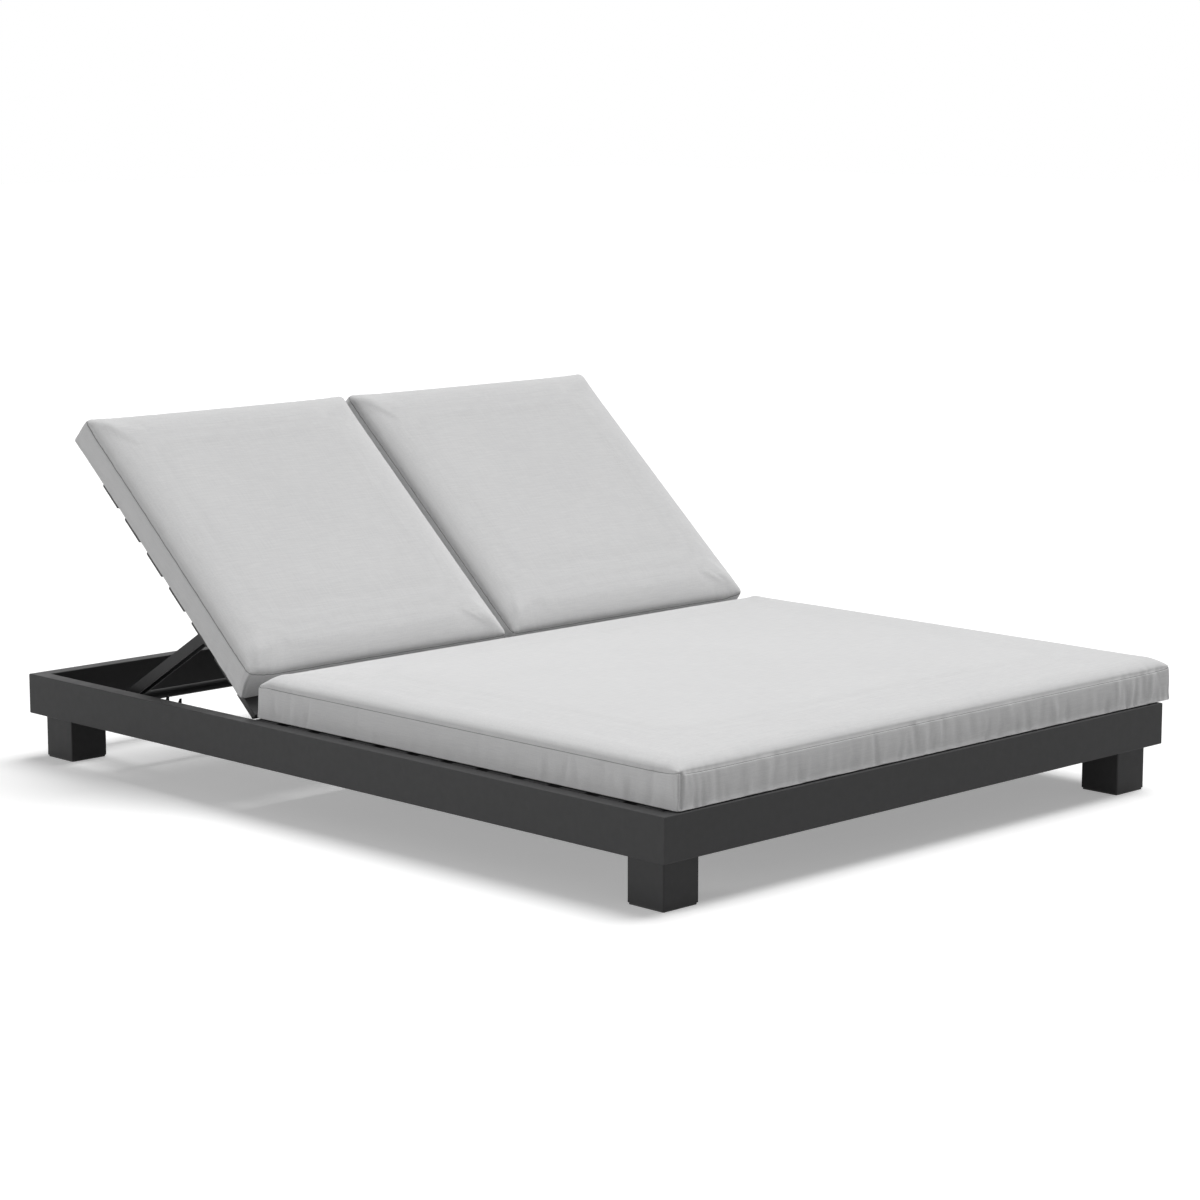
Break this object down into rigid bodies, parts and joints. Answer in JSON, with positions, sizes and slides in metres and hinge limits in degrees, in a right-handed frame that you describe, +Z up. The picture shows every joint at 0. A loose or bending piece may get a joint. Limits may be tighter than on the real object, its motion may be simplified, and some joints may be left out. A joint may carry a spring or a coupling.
{
  "type": "double chaise lounger",
  "caption": "Low patio daybed for two: dark box-rail frame on short square legs, one wide seat cushion, and two slatted backs that fold flat on propped stays.",
  "frame": {"origin": "on the floor, under the middle of the base frame's footprint", "axes": "+X to the right seen from the foot end, +Y towards the head end, +Z up"},
  "size_m": [1.5629, 2, 0.7657],
  "materials": {
    "powder_coated_aluminium": "satin",
    "stainless_steel": "satin",
    "black_plastic": "matte",
    "cushion_fabric": "matte"
  },
  "bodies": {
    "base": {"rail_left": "powder_coated_aluminium", "rail_right": "powder_coated_aluminium", "rail_head": "powder_coated_aluminium", "rail_foot": "powder_coated_aluminium", "corner_plates": "powder_coated_aluminium", "leg_glides": "black_plastic", "leg_bolts": "stainless_steel", "leg_front_left": "powder_coated_aluminium", "leg_front_right": "powder_coated_aluminium", "leg_rear_left": "powder_coated_aluminium", "leg_rear_right": "powder_coated_aluminium", "seat_ledge_left": "powder_coated_aluminium", "seat_ledge_right": "powder_coated_aluminium", "seat_slats": "powder_coated_aluminium", "hinge_beam": "powder_coated_aluminium", "centre_beam": "powder_coated_aluminium", "hinge_lugs": "powder_coated_aluminium", "hinge_bolts": "stainless_steel", "rack_beams_left": "powder_coated_aluminium", "rack_beams_right": "powder_coated_aluminium", "rack_left_outer": "powder_coated_aluminium", "rack_left_inner": "powder_coated_aluminium", "rack_right_outer": "powder_coated_aluminium", "rack_right_inner": "powder_coated_aluminium", "seat_cushion": "cushion_fabric"},
    "back_left": {"back_left_side_tube_outer": "powder_coated_aluminium", "back_left_side_tube_inner": "powder_coated_aluminium", "back_left_bottom_tube": "powder_coated_aluminium", "back_left_top_tube": "powder_coated_aluminium", "back_left_slat_1": "powder_coated_aluminium", "back_left_slat_2": "powder_coated_aluminium", "back_left_slat_3": "powder_coated_aluminium", "back_left_slat_4": "powder_coated_aluminium", "back_left_slat_5": "powder_coated_aluminium", "back_left_slat_6": "powder_coated_aluminium", "back_left_slat_7": "powder_coated_aluminium", "back_left_plugs": "black_plastic", "back_left_stay_bolts": "stainless_steel", "back_left_cushion": "cushion_fabric"},
    "stay_left": {"stay_left_arm_outer": "powder_coated_aluminium", "stay_left_arm_inner": "powder_coated_aluminium", "stay_left_foot_bar": "powder_coated_aluminium"},
    "back_right": {"back_right_side_tube_outer": "powder_coated_aluminium", "back_right_side_tube_inner": "powder_coated_aluminium", "back_right_bottom_tube": "powder_coated_aluminium", "back_right_top_tube": "powder_coated_aluminium", "back_right_slat_1": "powder_coated_aluminium", "back_right_slat_2": "powder_coated_aluminium", "back_right_slat_3": "powder_coated_aluminium", "back_right_slat_4": "powder_coated_aluminium", "back_right_slat_5": "powder_coated_aluminium", "back_right_slat_6": "powder_coated_aluminium", "back_right_slat_7": "powder_coated_aluminium", "back_right_plugs": "black_plastic", "back_right_stay_bolts": "stainless_steel", "back_right_cushion": "cushion_fabric"},
    "stay_right": {"stay_right_arm_outer": "powder_coated_aluminium", "stay_right_arm_inner": "powder_coated_aluminium", "stay_right_foot_bar": "powder_coated_aluminium"}
  },
  "joints": [
    {"name": "back_left_hinge", "type": "hinge", "parent": "base", "child": "back_left", "pos_m": [-0.369, 0.258, 0.1635], "axis": [1, 0, 0], "range_deg": [-41.3, 15.4]},
    {"name": "stay_left_pivot", "type": "hinge", "parent": "back_left", "child": "stay_left", "pos_m": [-0.369, 0.45708, 0.3384], "axis": [1, 0, 0], "range_deg": [-25.6, 68.6]},
    {"name": "back_right_hinge", "type": "hinge", "parent": "base", "child": "back_right", "pos_m": [0.369, 0.258, 0.1635], "axis": [1, 0, 0], "range_deg": [-41.3, 15.4]},
    {"name": "stay_right_pivot", "type": "hinge", "parent": "back_right", "child": "stay_right", "pos_m": [0.369, 0.45708, 0.3384], "axis": [1, 0, 0], "range_deg": [-25.6, 68.6]}
  ],
  "couplings": [
    {"joint": "stay_left_pivot", "follows": "back_left_hinge", "ratio": -1.66},
    {"joint": "stay_right_pivot", "follows": "back_right_hinge", "ratio": -1.66}
  ]
}
